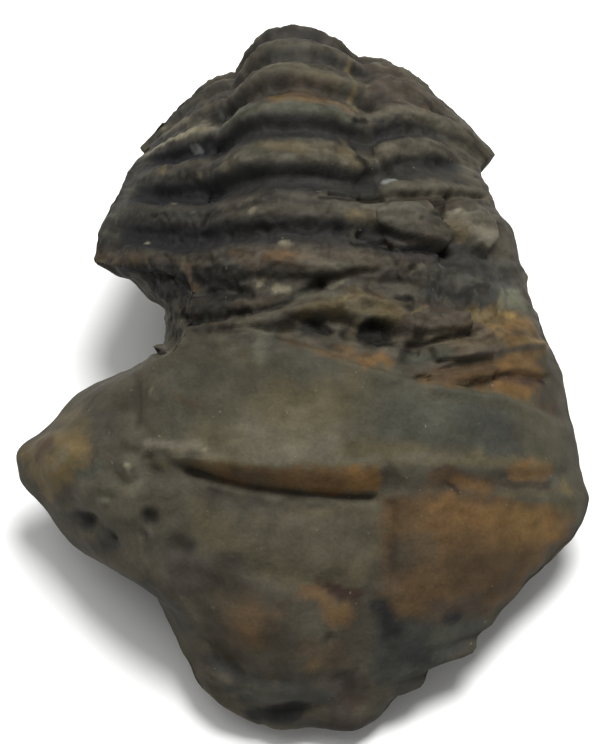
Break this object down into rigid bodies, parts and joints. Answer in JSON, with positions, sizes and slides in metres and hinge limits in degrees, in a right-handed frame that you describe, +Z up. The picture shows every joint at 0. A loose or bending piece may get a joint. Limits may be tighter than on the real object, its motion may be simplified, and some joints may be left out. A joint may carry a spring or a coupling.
{
  "type": "fossil trilobite",
  "caption": "Half-rolled fossil trilobite in dark stone, with a worn head shield, a ribbed three-lobed thorax curling over to a small tail, and broken rock beneath it.",
  "frame": {"origin": "middle of the fossil's box, on the surface that it rests on", "axes": "+Z up, +Y from the head towards the tail, +X towards the fossil's right-hand side as the picture shows it"},
  "size_m": [0.0374, 0.0491, 0.0198],
  "materials": {
    "fossil_stone": "worn dark grey-brown limestone with ochre iron staining, dull with a slight polish on the ridges"
  },
  "bodies": {
    "root": {"trilobite": "fossil_stone"}
  },
  "joints": []
}
